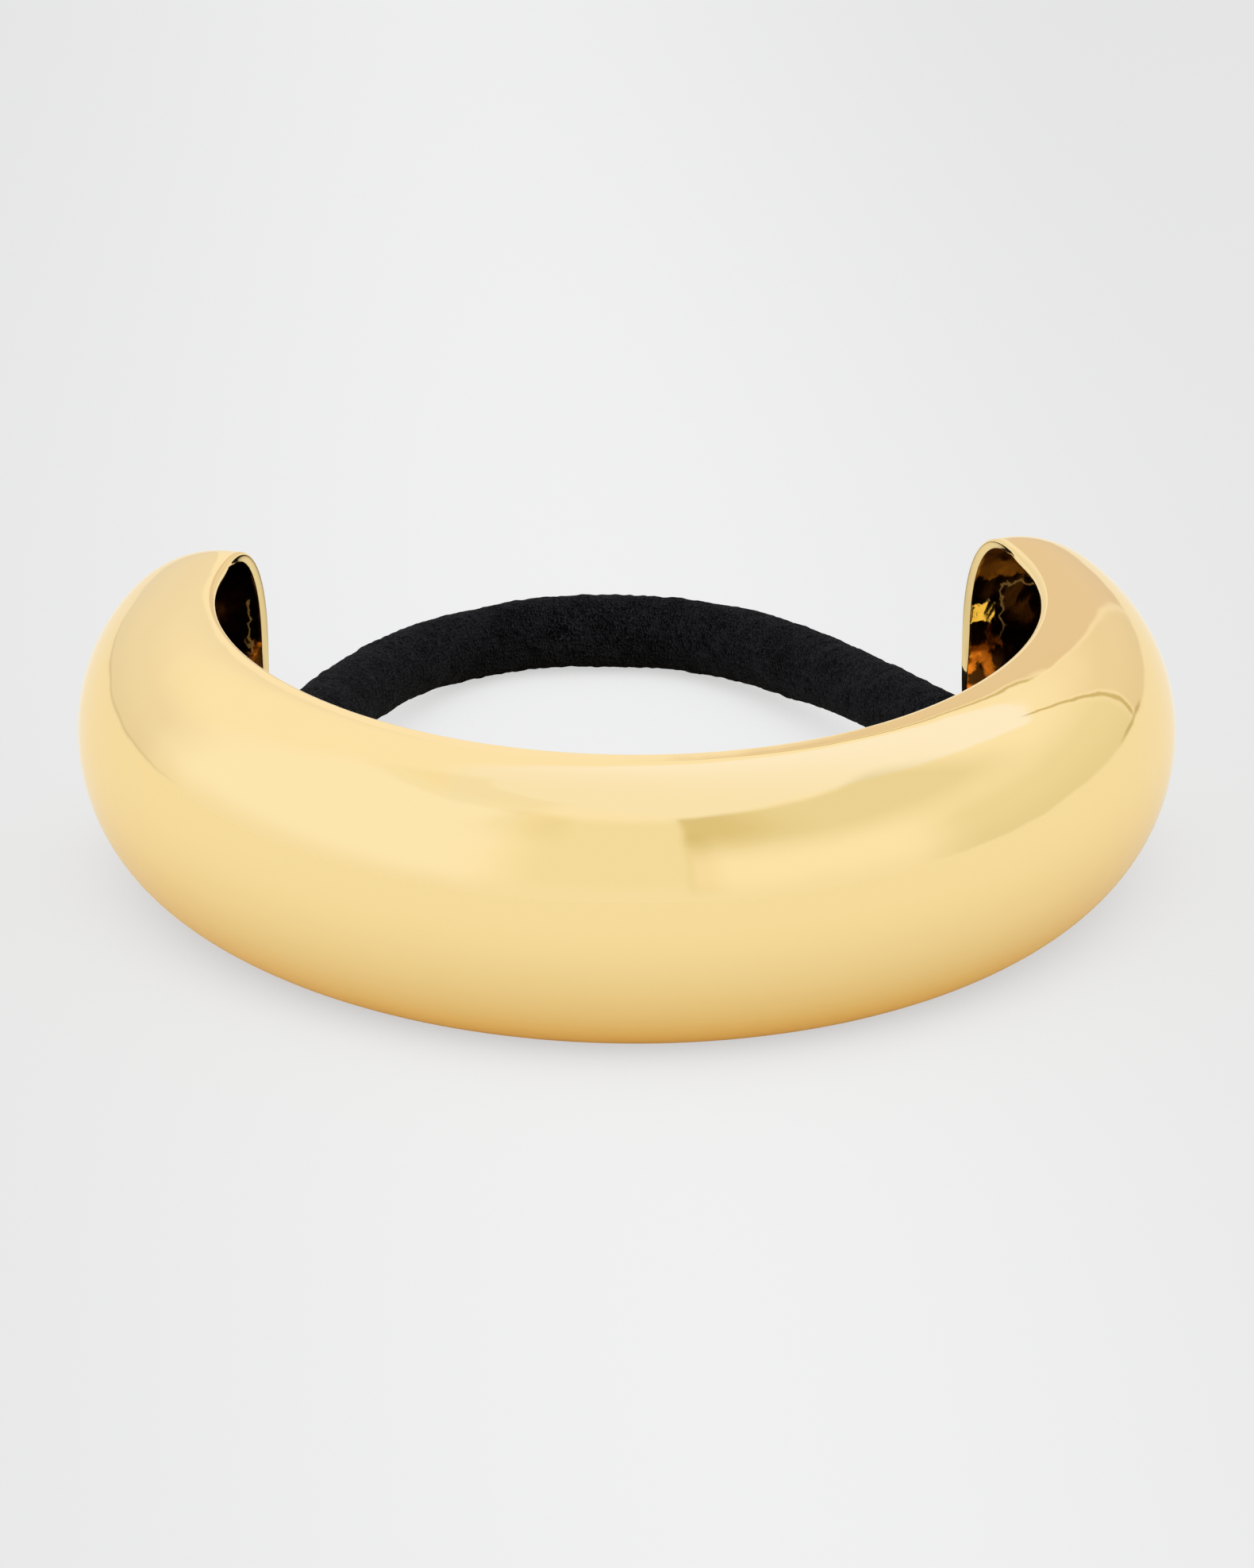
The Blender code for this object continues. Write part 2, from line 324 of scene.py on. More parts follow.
ring_centres, elastic_length = even_points(smooth_route(ELASTIC_ROUTE), RING_SPACING)
ring_count = len(ring_centres)
bunched = np.interp(ring_centres[:, 0], BUNCH_ENDS, (0, 1, 1, 0))
bunched *= np.interp(ring_centres[:, 1], BUNCH_START, (0, 1))
bunched = bunched ** 2 * (3 - 2 * bunched)
ring_centres += np.outer(bunched, (0, -BUNCH_BOW, BUNCH_SWELL))
along = np.gradient(ring_centres, axis=0)
along /= np.linalg.norm(along, axis=1, keepdims=True)
sideways = np.cross(along, (0, 0, 1))
sideways /= np.linalg.norm(sideways, axis=1, keepdims=True)
upwards = np.cross(sideways, along)
elastic_points = []
for i in range(ring_count):
    for k in range(ELASTIC_SIDES):
        turn = 2 * pi * k / ELASTIC_SIDES
        outward = sideways[i] * cos(turn) + upwards[i] * sin(turn)
        spot = Vector(ring_centres[i] + outward * ELASTIC_DIAMETER / 2)
        lump = sum(noise.noise(spot / size) * depth for size, depth in LUMPS)
        reach = ELASTIC_DIAMETER / 2 + BUNCH_SWELL * bunched[i] - COVER_SLACK + lump
        elastic_points.append(ring_centres[i] + outward * reach)
elastic_faces = [
    (i * ELASTIC_SIDES + k, i * ELASTIC_SIDES + (k + 1) % ELASTIC_SIDES,
     (i + 1) * ELASTIC_SIDES + (k + 1) % ELASTIC_SIDES, (i + 1) * ELASTIC_SIDES + k)
    for i in range(ring_count - 1) for k in range(ELASTIC_SIDES)
]
elastic_faces.append(tuple(range(ELASTIC_SIDES)))
elastic_faces.append(tuple((ring_count - 1) * ELASTIC_SIDES + k for k in reversed(range(ELASTIC_SIDES))))
elastic_mesh = bpy.data.meshes.new("elastic_knit")
elastic_mesh.from_pydata([tuple(p) for p in elastic_points], [], elastic_faces)
elastic_mesh.shade_smooth()
cover_map = elastic_mesh.uv_layers.new(name="cover")
for face in elastic_mesh.polygons:
    corners = list(face.loop_indices)
    if len(corners) > 4:
        continue
    i, k = divmod(face.index, ELASTIC_SIDES)
    for corner, (di, dk) in zip(corners, ((0, 0), (0, 1), (1, 1), (1, 0))):
        cover_map.data[corner].uv = ((i + di) / (ring_count - 1), (k + dk) / ELASTIC_SIDES)
elastic = bpy.data.objects.new("elastic_knit", elastic_mesh)
bpy.context.collection.objects.link(elastic)

# Knitted nylon cover: rows of short slanting loops run round the cord, and the fluff of the textured yarn
# breaks them up, so it looks matt and mottled; painted shade makes the gaps near black and the loops dark
# grey
LOOP_WIDTH = 0.00030
LOOP_LENGTH = 0.00027
LOOP_LEAN = 1.3           # how far a loop slants across its column, in loops
LOOP_UPRIGHT = 0.7        # the share of that slant which every second column lacks
LOOP_FALL = 3.2           # how fast a loop sinks towards the edge of its column
LOOP_DEPTH = 0.00010
FLUFF = 0.00042
COVER_MOTTLE = 0.0016
KNIT_WANDER = 3.0         # how far the fluff pushes the loops about, in loops
KNIT_COLUMNS = round(pi * ELASTIC_DIAMETER / LOOP_WIDTH / 2) * 2
LOOP_SHARE = 0.65         # how much the loops, the fluff and the mottle each add
FLUFF_SHARE = 0.5
MOTTLE_SHARE = 0.6
KNIT_BLACK = 0.62         # the sums at which the yarn is darkest and lightest
KNIT_GREY = 1.12
knit, knit_tree, knit_shader = new_material("knitted_nylon_cover")
knit_place = add_node(knit_tree, "ShaderNodeTexCoord").outputs["Object"]
cover = add_node(knit_tree, "ShaderNodeSeparateXYZ", inputs={
    0: add_node(knit_tree, "ShaderNodeUVMap", {"uv_map": "cover"}).outputs[0]}).outputs
fluff, knit_mottle = [
    add_node(knit_tree, "ShaderNodeTexNoise", inputs={
        "Vector": knit_place, "Scale": 1 / size, "Detail": 2.0}).outputs[0]
    for size in (FLUFF, COVER_MOTTLE)]
# Each step of the pattern is one sum on numbers and on earlier steps. The loops of one column lean more
# than those of the next
knit_steps = {"fluff": fluff, "mottle": knit_mottle, "around": cover["Y"], "along": cover["X"]}
for step, operation, *terms in (
    ("wander", "MULTIPLY", "fluff", KNIT_WANDER),
    ("column", "MULTIPLY_ADD", "around", KNIT_COLUMNS, "wander"),
    ("across", "FRACT", "column"),
    ("across", "SUBTRACT", "across", 0.5),
    ("odd", "FLOOR", "column"),
    ("odd", "MODULO", "odd", 2),
    ("lean", "MULTIPLY_ADD", "odd", -LOOP_UPRIGHT * LOOP_LEAN, LOOP_LEAN),
    ("lean", "MULTIPLY", "across", "lean"),
    ("row", "MULTIPLY_ADD", "along", elastic_length / LOOP_LENGTH, "lean"),
    ("shift", "MULTIPLY_ADD", "odd", 0.5, "wander"),
    ("row", "ADD", "row", "shift"),
    ("crest", "MULTIPLY", "row", 2 * pi),
    ("crest", "COSINE", "crest"),
    ("crest", "MULTIPLY_ADD", "crest", 0.5, 0.5),
    ("edge", "MULTIPLY", "across", "across"),
    ("edge", "MULTIPLY_ADD", "edge", -LOOP_FALL, 1),
    ("loops", "MULTIPLY", "crest", "edge"),
    ("haze", "MULTIPLY", "fluff", FLUFF_SHARE),
    ("loops", "MULTIPLY_ADD", "loops", LOOP_SHARE, "haze"),
    ("light", "MULTIPLY_ADD", "mottle", MOTTLE_SHARE, "loops"),
):
    knit_steps[step] = add_node(
        knit_tree, "ShaderNodeMath", {"operation": operation},
        {number: knit_steps.get(term, term) for number, term in enumerate(terms)}).outputs[0]
knit_bump = add_node(knit_tree, "ShaderNodeBump", inputs={
    "Distance": LOOP_DEPTH, "Height": knit_steps["loops"]})
# The loops' share of this tone is painted shade, darker in the gaps between them; fluff and mottle are the
# yarn's uneven tone
knit_shade = add_node(knit_tree, "ShaderNodeMapRange", inputs={
    "Value": knit_steps["light"], "From Min": KNIT_BLACK, "From Max": KNIT_GREY})
knit_colour = add_node(knit_tree, "ShaderNodeMix", {"data_type": "RGBA"},
                       {0: knit_shade.outputs[0], 6: linear("#050506"), 7: linear("#29282D")})
knit_shader.inputs["Roughness"].default_value = 0.9
knit_shader.inputs["Specular IOR Level"].default_value = 0.06
knit_tree.links.new(knit_colour.outputs[2], knit_shader.inputs["Base Color"])
knit_tree.links.new(knit_bump.outputs[0], knit_shader.inputs["Normal"])
elastic_mesh.materials.append(knit)
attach(elastic, "root")
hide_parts("elastic_loop")


# Cuff. One puffed shell of brass with gold plate, open at the back and bent round the front of the ponytail.
# It is pressed, and polished outside, and its narrow rim stands on the table.
RIM_HALF_WIDTH = 0.02445
RIM_FRONT_REACH = 0.0260
RIM_WAIST = 0.021
ARM_ANGLE = radians(122.0)
END_ANGLE = radians(13.0)
END_SQUARENESS = 2.85
FRONT_HEIGHT = 0.0165
END_HEIGHT = 0.0171
FRONT_SWELL = 0.0070
END_SWELL = 0.0089
RIM_LAND = 0.0009
WALL = 0.0006
SECTION_SIDES = 96
LAND_STEPS = 2
ARM_STEPS = 54
END_STEPS = 24
OUTER_ROUNDING = 0.00038  # polishing has rounded the wall's outer edge over, and left its inner edge crisp
OUTER_STEPS = 6
INNER_ROUNDING = 0.00006
INNER_STEPS = 2
TIP_ROUNDING = 0.00008    # what the outer edge keeps at the arms' tips, where the wheel can't reach
TIP_START = 0.0165        # from here to there, front to back, it changes over to that
TIP_END = 0.0205
TIP_SLANT = 0.00012       # how far the wall's inner edge lies back at the tips
FOOT_TURN = 0.00005       # how far it comes forward again below each of the next levels
FOOT_LEVELS = (0.0090, 0.0082, 0.0074, 0.0066, 0.0058, 0.0050)
SHARP = radians(50)
TINY = 1e-6
MIRROR_MERGE = 1e-5
TIP_MERGE = 2e-5


def rim_point(angle):
    """Where the rim stands in plan, angle being measured from the front."""
    pull = 1 + RIM_WAIST * (cos(3 * angle) - 1)
    return Vector((RIM_HALF_WIDTH * sin(angle) * pull, -RIM_FRONT_REACH * cos(angle) * pull, 0))


def outward_way(angle):
    """The level direction that points out of the rim, square to it."""
    step = radians(0.05)
    run = (rim_point(angle + step) - rim_point(angle - step)).normalized()
    return Vector((run.y, -run.x, 0))


def section_sizes(angle, share):
    """Height of the section there, how far it bulges past its flat land, and its foot's place."""
    reach = (angle / ARM_ANGLE) ** 2
    height = FRONT_HEIGHT + (END_HEIGHT - FRONT_HEIGHT) * reach
    bulge = FRONT_SWELL + (END_SWELL - FRONT_SWELL) * reach - RIM_LAND
    return height * share, bulge * share, rim_point(angle) + Vector((0, 0, height / 2))


def select_where(mesh_object, test, newest=0):
    """In edit mode: selects those of all or of the newest vertices that pass the test, and nothing else."""
    bpy.ops.mesh.select_all(action="DESELECT")
    bpy.ops.object.mode_set(mode="OBJECT")
    for vertex in mesh_object.data.vertices[-newest:]:
        vertex.select = test(vertex.co)
    bpy.ops.object.mode_set(mode="EDIT")


def apply_modifier(mesh_object, kind, **settings):
    """Adds a modifier to the active object and applies it."""
    modifier = mesh_object.modifiers.new(kind.lower(), kind)
    for name, value in settings.items():
        setattr(modifier, name, value)
    bpy.ops.object.modifier_apply(modifier=modifier.name)


def select_sharp(mesh_object, test):
    """In edit mode: selects the sharp edges whose first vertex, by its number and place, passes the test."""
    bpy.ops.mesh.select_mode(type="EDGE")
    bpy.ops.mesh.select_all(action="DESELECT")
    bpy.ops.mesh.edges_select_sharp(sharpness=SHARP)
    bpy.ops.object.mode_set(mode="OBJECT")
    mesh = mesh_object.data
    chosen = [edge for edge in mesh.edges
              if edge.select and test(edge.vertices[0], mesh.vertices[edge.vertices[0]].co)]
    for element in (*mesh.vertices, *mesh.edges, *mesh.polygons):
        element.select = False
    for edge in chosen:
        edge.select = True
        for number in edge.vertices:
            mesh.vertices[number].select = True
    bpy.ops.object.mode_set(mode="EDIT")


def tip_share(place):
    """From 0 on the cuff's front and sides to 1 at the arms' tips."""
    share = min(max((place.y + cuff_setback - TIP_START) / (TIP_END - TIP_START), 0), 1)
    return share * share * (3 - 2 * share)


def round_edges(mesh_object, segments, width, tip_width, test):
    """Rounds the sharp edges that pass the test, by one width at the front and another at the arms' tips."""
    bpy.ops.object.mode_set(mode="EDIT")
    select_sharp(mesh_object, test)
    bpy.ops.object.mode_set(mode="OBJECT")
    mesh = mesh_object.data
    mesh.attributes.new("bevel_weight_edge", "FLOAT", "EDGE")
    weights = []
    for edge in mesh.edges:
        share = tip_share(mesh.vertices[edge.vertices[0]].co)
        weights.append((1 + (tip_width / width - 1) * share) if edge.select else 0)
    mesh.attributes["bevel_weight_edge"].data.foreach_set("value", weights)
    apply_modifier(mesh_object, "BEVEL", width=width, segments=segments, limit_method="WEIGHT",
                   use_clamp_overlap=False)
    mesh.attributes.remove(mesh.attributes["bevel_weight_edge"])


arm_stations = [((ARM_ANGLE - END_ANGLE) * i / ARM_STEPS, 1.0) for i in range(ARM_STEPS)]
for i in range(END_STEPS + 1):
    turn = pi / 2 * i / END_STEPS
    arm_stations.append((ARM_ANGLE - END_ANGLE * (1 - sin(turn) ** (2 / END_SQUARENESS)),
                         max(abs(cos(turn)) ** (2 / END_SQUARENESS), TINY)))

bpy.ops.object.select_all(action="DESELECT")
bpy.ops.mesh.primitive_circle_add(vertices=SECTION_SIDES, radius=FRONT_HEIGHT / 2,
                                  location=(0, 0, 0), rotation=(0, pi / 2, 0))
shell = bpy.context.active_object
shell.name = "cuff_shell_plated"
bpy.ops.object.transform_apply(location=False, rotation=True, scale=True)
bpy.ops.object.mode_set(mode="EDIT")
bpy.ops.mesh.select_mode(type="VERT")
bpy.ops.mesh.select_all(action="SELECT")
flattening = (FRONT_SWELL - RIM_LAND) / (FRONT_HEIGHT / 2)
bpy.ops.transform.resize(value=(1, flattening, 1), center_override=(0, 0, 0))
select_where(shell, lambda co: co.y > TINY)
bpy.ops.mesh.delete(type="VERT")
bpy.ops.mesh.select_all(action="SELECT")
bpy.ops.transform.translate(value=(0, -RIM_FRONT_REACH - RIM_LAND, FRONT_HEIGHT / 2))
select_where(shell, lambda co: co.y > -RIM_FRONT_REACH - RIM_LAND - TINY)
for _ in range(LAND_STEPS):
    bpy.ops.mesh.extrude_region_move(TRANSFORM_OT_translate={"value": (0, RIM_LAND / LAND_STEPS, 0)})
bpy.ops.mesh.select_all(action="SELECT")
bpy.ops.object.mode_set(mode="OBJECT")
section_count = len(shell.data.vertices)
bpy.ops.object.mode_set(mode="EDIT")
for (angle, share), (next_angle, next_share) in zip(arm_stations, arm_stations[1:]):
    height, bulge, foot = section_sizes(angle, share)
    next_height, next_bulge, next_foot = section_sizes(next_angle, next_share)
    outward = outward_way(next_angle)
    bpy.ops.mesh.extrude_region_move(TRANSFORM_OT_translate={"value": next_foot - foot})
    # With no window, rotate turns the other way
    bend = -outward_way(angle).angle(outward)
    bpy.ops.transform.rotate(value=bend, orient_axis="Z", center_override=next_foot)
    bpy.ops.transform.resize(value=(1, 1, next_height / height), center_override=next_foot)
    # The flat land keeps its width, and only what bulges past it grows or draws in
    select_where(shell, lambda co: (co - next_foot).dot(outward) > RIM_LAND + TINY, section_count)
    spread = next_bulge / bulge
    bpy.ops.transform.resize(value=(spread, spread, 1), center_override=next_foot + outward * RIM_LAND)
    select_where(shell, lambda co: True, section_count)
bpy.ops.object.mode_set(mode="OBJECT")
apply_modifier(shell, "MIRROR", merge_threshold=MIRROR_MERGE)
bpy.ops.object.mode_set(mode="EDIT")
bpy.ops.mesh.select_all(action="SELECT")
bpy.ops.mesh.remove_doubles(threshold=TIP_MERGE)
bpy.ops.mesh.normals_make_consistent(inside=False)
bpy.ops.object.mode_set(mode="OBJECT")
front_face = min(shell.data.polygons, key=lambda face: face.center.y)
if front_face.normal.y > 0:
    bpy.ops.object.mode_set(mode="EDIT")
    bpy.ops.mesh.select_all(action="SELECT")
    bpy.ops.mesh.flip_normals()
    bpy.ops.object.mode_set(mode="OBJECT")
outer_count = len(shell.data.vertices)
# One slot for the outside and one for the hollow, filled below
for _ in range(2):
    shell.data.materials.append(None)
apply_modifier(shell, "SOLIDIFY", thickness=WALL, offset=-1.0, use_even_offset=True, material_offset=1)
cuff_setback = shell_low.y + RIM_FRONT_REACH + FRONT_SWELL
# At the tips the wall's inner edge lies a little back, so the lip's face slants in towards the hollow.
# Towards the tips' foot the face turns over the other way, step by step
lip_moves = [(END_HEIGHT, TIP_SLANT)] + [(level, -FOOT_TURN) for level in FOOT_LEVELS]
bpy.ops.object.mode_set(mode="EDIT")
for side in (-1, 1):
    for top, move in lip_moves:
        select_sharp(shell, lambda number, place: (
            number >= outer_count and place.x * side > 0 and place.z < top and tip_share(place) > 0))
        bpy.ops.transform.translate(value=outward_way(side * ARM_ANGLE) * move)
bpy.ops.object.mode_set(mode="OBJECT")
round_edges(shell, OUTER_STEPS, OUTER_ROUNDING, TIP_ROUNDING, lambda number, place: number < outer_count)
round_edges(shell, INNER_STEPS, INNER_ROUNDING, INNER_ROUNDING, lambda number, place: True)
shell.location.y = cuff_setback
bpy.ops.object.transform_apply(location=True, rotation=False, scale=False)
bpy.ops.object.shade_smooth_by_angle(angle=SHARP)

# Polished gold plate: hand buffing leaves the metal very slightly wavy, so the edges of what it mirrors
# wander, and a faint haze comes and goes over it
PLATE_WAVE = 0.0045
PLATE_WAVE_DEPTH = 0.00004
PLATE_PEEL = 0.0009
PLATE_PEEL_DEPTH = 0.0000016
PLATE_HAZE = (0.03, 0.07)
PLATE_TINT = (1.0, 0.94, 0.84, 1.0)     # its edge-on gleam
plate, plate_tree, plate_shader = new_material("polished_gold_plate")
plate_place = add_node(plate_tree, "ShaderNodeTexCoord").outputs["Object"]
plate_wave, plate_peel = [
    add_node(plate_tree, "ShaderNodeTexNoise", inputs={
        "Vector": plate_place, "Scale": 1 / size, "Detail": 1.0}).outputs[0]
    for size in (PLATE_WAVE, PLATE_PEEL)]
plate_waved = add_node(plate_tree, "ShaderNodeBump", inputs={
    "Distance": PLATE_WAVE_DEPTH, "Height": plate_wave})
plate_peeled = add_node(plate_tree, "ShaderNodeBump", inputs={
    "Distance": PLATE_PEEL_DEPTH, "Height": plate_peel, "Normal": plate_waved.outputs[0]})
plate_haze = add_node(plate_tree, "ShaderNodeMapRange", inputs={
    "Value": plate_wave, "To Min": PLATE_HAZE[0], "To Max": PLATE_HAZE[1]})
plate_shader.inputs["Base Color"].default_value = linear("#FDE2A6")
plate_shader.inputs["Metallic"].default_value = 1.0
plate_shader.inputs["Specular Tint"].default_value = PLATE_TINT
plate_tree.links.new(plate_haze.outputs[0], plate_shader.inputs["Roughness"])
plate_tree.links.new(plate_peeled.outputs[0], plate_shader.inputs["Normal"])

# Plated hollow: nothing reaches in to polish it, so under the plate it keeps the pressing's and the
# pickling's unevenness, which breaks what it mirrors. In the dead ends of the arms its colour is painted:
# painted shade makes it dark brown, painted reflections lay ragged amber, yellow and orange patches and a
# bright glint over it, and a paler line runs round the darkest part
HOLLOW_DENTS = 0.0036     # size of the shallow dents and of the fine grain, and how deep each is
HOLLOW_DENT_DEPTH = 0.00030
HOLLOW_GRAIN = 0.0007
HOLLOW_GRAIN_DEPTH = 0.000018
HOLLOW_SEED = 3.0
PAINTED_SHADE_START = 0.0190      # front to back, where the painted shade and the painted reflections begin and where they are full
PAINTED_SHADE_FULL = 0.0205
PATCH_SIZE = 0.0011       # size of their blots, and how far blots and grain push their edges about
PATCH_RAGGED = 0.0013
PATCH_FRAYED = 0.0011
PATCH_SLANT = 0.08         # the levels of the painted patches rise from the right arm to the left
PALE_LINE_MIDDLE = 0.0006      # the pale line runs upwards this far out to either side of this middle
PALE_LINE_SIDE = 0.0225
PALE_LINE_TOP = 0.0148         # and turns outwards at this level, round a corner this wide
PALE_LINE_CORNER = 0.0009
PALE_LINE_WIDTH = 0.00016
PALE_LINE_FOOT = 0.0090        # it starts at this level, and on the left arm it ends below its turn
PALE_LINE_HEAD = 0.0150
PALE_LINE_FALL = 0.10
AMBER_REFLECTION_FOOT = 0.0152       # level above which the painted reflection is amber
SWIRL_REFLECTION_SHARES = (0.42, 0.50)
ORANGE_REFLECTION_TOP = 0.0104       # level below which the painted reflection is orange, in blots, inside the pale line
BLOT_SHARES = (0.44, 0.56)
DINT_TOP = 0.0118         # the right arm's dint, with its painted glint, reaches from there up to here
DINT_SIDE = 0.0229
DINT_MIDDLE = (0.0221, 0.0223, 0.0110)
DINT_SLOPE = (0.195, 0.117, 0.23)
hollow, hollow_tree, hollow_shader = new_material("pressed_hollow_painted_shade_and_reflections")
hollow_place = add_node(hollow_tree, "ShaderNodeTexCoord").outputs["Object"]
hollow_dents, hollow_grain, hollow_blots = [
    add_node(hollow_tree, "ShaderNodeTexNoise", {"noise_dimensions": "4D"}, {
        "Vector": hollow_place, "W": HOLLOW_SEED, "Scale": 1 / size, "Detail": detail,
        "Distortion": bend}).outputs[0]
    for size, detail, bend in ((HOLLOW_DENTS, 2.0, 0.6), (HOLLOW_GRAIN, 2.0, 0.0), (PATCH_SIZE, 5.0, 0.4))]
hollow_way = add_node(hollow_tree, "ShaderNodeSeparateXYZ", inputs={0: hollow_place}).outputs
dint_place = add_node(hollow_tree, "ShaderNodeVectorMath", {"operation": "SUBTRACT"},
                      {0: hollow_place, 1: DINT_MIDDLE}).outputs[0]
dint_rise = add_node(hollow_tree, "ShaderNodeVectorMath", {"operation": "DOT_PRODUCT"},
                     {0: dint_place, 1: DINT_SLOPE}).outputs["Value"]
# As in the knit, each step is one sum on numbers and on earlier steps
hollow_steps = {"x": hollow_way["X"], "y": hollow_way["Y"], "z": hollow_way["Z"], "dents": hollow_dents,
                "grain": hollow_grain, "blots": hollow_blots, "dint_rise": dint_rise}
for step, operation, *terms in (
    ("ragged", "SUBTRACT", "blots", 0.5),
    ("ragged", "MULTIPLY", "ragged", PATCH_RAGGED),
    ("frayed", "SUBTRACT", "grain", 0.5),
    ("ragged", "MULTIPLY_ADD", "frayed", PATCH_FRAYED, "ragged"),
    ("deep", "ADD", "y", "ragged"),
    ("high", "ADD", "z", "ragged"),
    ("slanted_level", "MULTIPLY_ADD", "x", PATCH_SLANT, "z"),
    ("slanted_ragged_level", "ADD", "slanted_level", "ragged"),
    ("fallen", "MULTIPLY_ADD", "x", -PALE_LINE_FALL, "high"),
    ("side", "SUBTRACT", "x", PALE_LINE_MIDDLE),
    ("side", "ABSOLUTE", "side"),
    ("side", "SUBTRACT", "side", PALE_LINE_SIDE),
    ("under", "SUBTRACT", PALE_LINE_TOP, "slanted_level"),
    ("inside", "SMOOTH_MIN", "side", "under", PALE_LINE_CORNER),
    ("inside", "ADD", "inside", "ragged"),
    ("line", "ABSOLUTE", "inside"),
    ("dint", "SUBTRACT", DINT_TOP, "high"),
    ("dint_foot", "SUBTRACT", "high", ORANGE_REFLECTION_TOP),
    ("dint_side", "SUBTRACT", DINT_SIDE, "x"),
    ("dint", "MINIMUM", "dint", "dint_foot"),
    ("dint", "MINIMUM", "dint", "dint_side"),
    ("dint", "MINIMUM", "dint", "x"),
):
    hollow_steps[step] = add_node(
        hollow_tree, "ShaderNodeMath", {"operation": operation},
        {number: hollow_steps.get(term, term) for number, term in enumerate(terms)}).outputs[0]
# How much there is of each painted patch: it goes from one share to the other as the step's value does
for share, value, start, end, first, last in (
    ("painted_shade", "deep", PAINTED_SHADE_START, PAINTED_SHADE_FULL, 0, 1),
    ("amber_reflection", "slanted_ragged_level", AMBER_REFLECTION_FOOT, AMBER_REFLECTION_FOOT + PALE_LINE_WIDTH * 2, 0, 1),
    ("swirl_reflection", "dents", *SWIRL_REFLECTION_SHARES, 0, 1),
    ("orange_reflection", "high", ORANGE_REFLECTION_TOP, ORANGE_REFLECTION_TOP + PALE_LINE_WIDTH, 1, 0),
    ("beside", "inside", 0, PALE_LINE_WIDTH, 1, 0),
    ("blotched", "blots", *BLOT_SHARES, 0, 1),
    ("pale_line", "line", 0, PALE_LINE_WIDTH, 1, 0),
    ("above_foot", "high", PALE_LINE_FOOT, PALE_LINE_FOOT + PATCH_SIZE, 0, 1),
    ("below_top", "fallen", PALE_LINE_HEAD, PALE_LINE_HEAD + PALE_LINE_WIDTH * 2, 1, 0),
    ("dint_and_glint", "dint", 0, PALE_LINE_WIDTH, 0, 1),
):
    hollow_steps[share] = add_node(
        hollow_tree, "ShaderNodeMapRange", {"interpolation_type": "SMOOTHSTEP"}, {
            "Value": hollow_steps[value], "From Min": start, "From Max": end,
            "To Min": first, "To Max": last}).outputs[0]
for share, *limits in (
    ("amber_reflection", "painted_shade"),
    ("swirl_reflection", "amber_reflection"),
    ("orange_reflection", "beside", "blotched", "painted_shade"),
    ("pale_line", "above_foot", "below_top", "painted_shade"),
    ("dint_and_glint", "painted_shade"),
    ("dint_rise", "dint_and_glint"),
):
    for limit in limits:
        hollow_steps[share] = add_node(
            hollow_tree, "ShaderNodeMath", {"operation": "MULTIPLY"},
            {0: hollow_steps[share], 1: hollow_steps[limit]}).outputs[0]
hollow_normal = None
for height, depth in ((hollow_dents, HOLLOW_DENT_DEPTH), (hollow_grain, HOLLOW_GRAIN_DEPTH),
                      (hollow_steps["dint_rise"], 1.0)):
    bump_inputs = {"Distance": depth, "Height": height}
    if hollow_normal:
        bump_inputs["Normal"] = hollow_normal
    hollow_normal = add_node(hollow_tree, "ShaderNodeBump", inputs=bump_inputs).outputs[0]
# Over the clean plate each painted patch lays its own colour and roughness
hollow_colour = linear("#FDDC98")
hollow_rough = 0.06
for share, colour, rough in (
    # painted shade: dark brown deep in the arms' dead ends
    ("painted_shade", "#4A321A", 0.15),
    # painted reflections: amber, brighter swirls and orange blots
    ("amber_reflection", "#9C6428", 0.30),
    ("swirl_reflection", "#FFB850", 0.35),
    ("orange_reflection", "#FFA23E", 0.24),
    # painted glint on the right arm's dint
    ("dint_and_glint", "#FFE27C", 0.08),
    ("pale_line", "#F4DCAC", 0.55),
):
    hollow_colour = add_node(hollow_tree, "ShaderNodeMix", {"data_type": "RGBA"},
                             {0: hollow_steps[share], 6: hollow_colour, 7: linear(colour)}).outputs[2]
    hollow_rough = add_node(hollow_tree, "ShaderNodeMix", inputs={
        0: hollow_steps[share], 2: hollow_rough, 3: rough}).outputs[0]
hollow_shader.inputs["Metallic"].default_value = 1.0
hollow_tree.links.new(hollow_colour, hollow_shader.inputs["Base Color"])
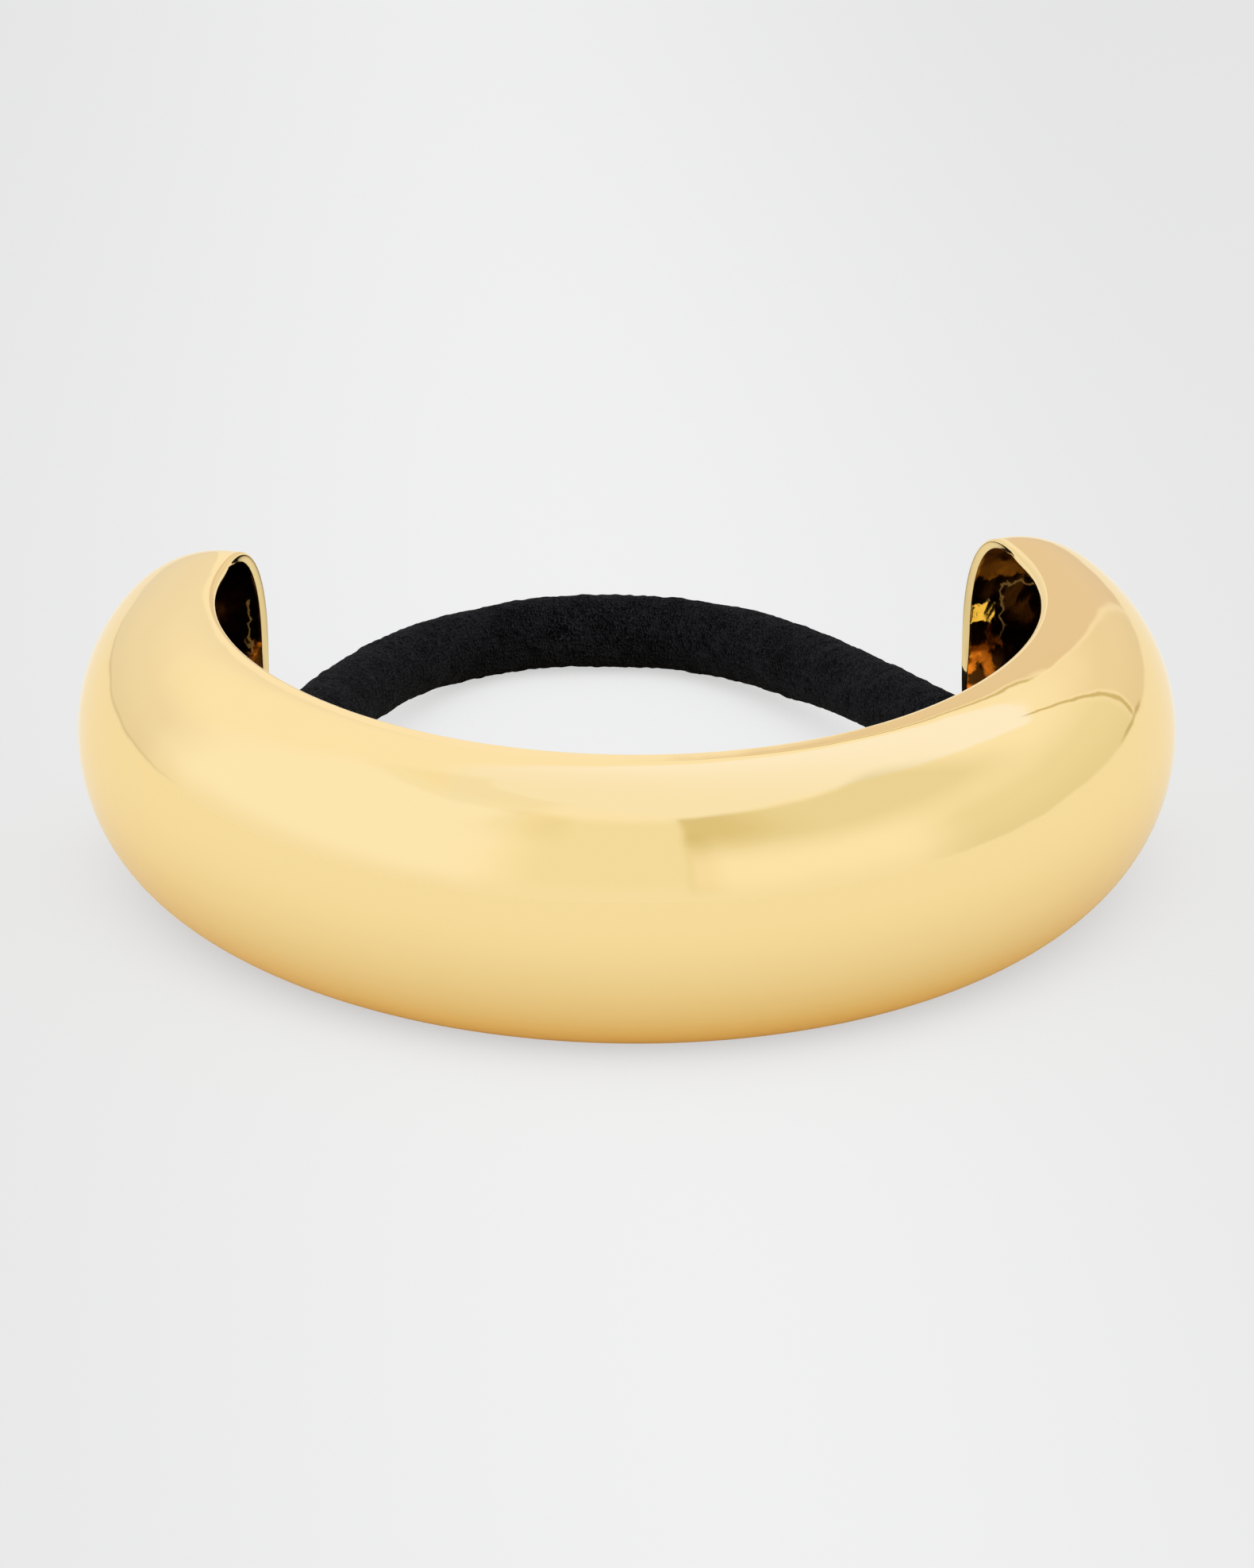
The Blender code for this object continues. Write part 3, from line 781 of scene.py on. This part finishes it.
hollow_tree.links.new(hollow_rough, hollow_shader.inputs["Roughness"])
hollow_tree.links.new(hollow_normal, hollow_shader.inputs["Normal"])
shell.data.materials[0] = plate
shell.data.materials[1] = hollow
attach(shell, "root")
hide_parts("cuff_shell")


# Strap. A flat strip of plated brass, soldered across the hollow at the front, that holds the elastic
# against the front wall. The solder has flowed out where it meets the upper and the lower wall.
STRAP_WIDTH = 0.0030
STRAP_THICKNESS = 0.0008
STRAP_SETBACK = 0.00015
SOLDER_REACH = 0.0009
SOLDER_STEPS = 4
SOLDER_SPREAD = 1.9
STRAP_ROUNDING = 0.00028
STRAP_ROUND_STEPS = 4

strap_length = FRONT_HEIGHT - WALL
strap_middle = Vector((
    0, cuff_setback - RIM_FRONT_REACH - STRAP_SETBACK - STRAP_THICKNESS / 2, FRONT_HEIGHT / 2))
bpy.ops.object.select_all(action="DESELECT")
bpy.ops.mesh.primitive_cube_add(size=1, location=strap_middle,
                                scale=(STRAP_WIDTH, STRAP_THICKNESS, strap_length))
strap = bpy.context.active_object
strap.name = "solder_strap"
bpy.ops.object.transform_apply(location=True, rotation=False, scale=True)
bpy.ops.object.mode_set(mode="EDIT")
for end in (-1, 1):
    for step in range(SOLDER_STEPS, -1, -1):
        level = strap_middle + Vector((0, 0, end * (strap_length / 2 - SOLDER_REACH * step / SOLDER_STEPS)))
        if step:
            bpy.ops.mesh.select_all(action="SELECT")
            bpy.ops.mesh.bisect(plane_co=level, plane_no=(0, 0, 1))
        select_where(strap, lambda co: abs(co.z - level.z) < TINY)
        spread = 1 + (SOLDER_SPREAD - 1) * (1 - step / SOLDER_STEPS) ** 2
        bpy.ops.transform.resize(value=(spread, spread, 1), center_override=level)
bpy.ops.object.mode_set(mode="OBJECT")
apply_modifier(strap, "BEVEL", width=STRAP_ROUNDING, segments=STRAP_ROUND_STEPS, limit_method="ANGLE",
               angle_limit=SHARP)
bpy.ops.object.shade_smooth_by_angle(angle=SHARP)
strap.data.materials.append(plate)
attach(strap, "root")
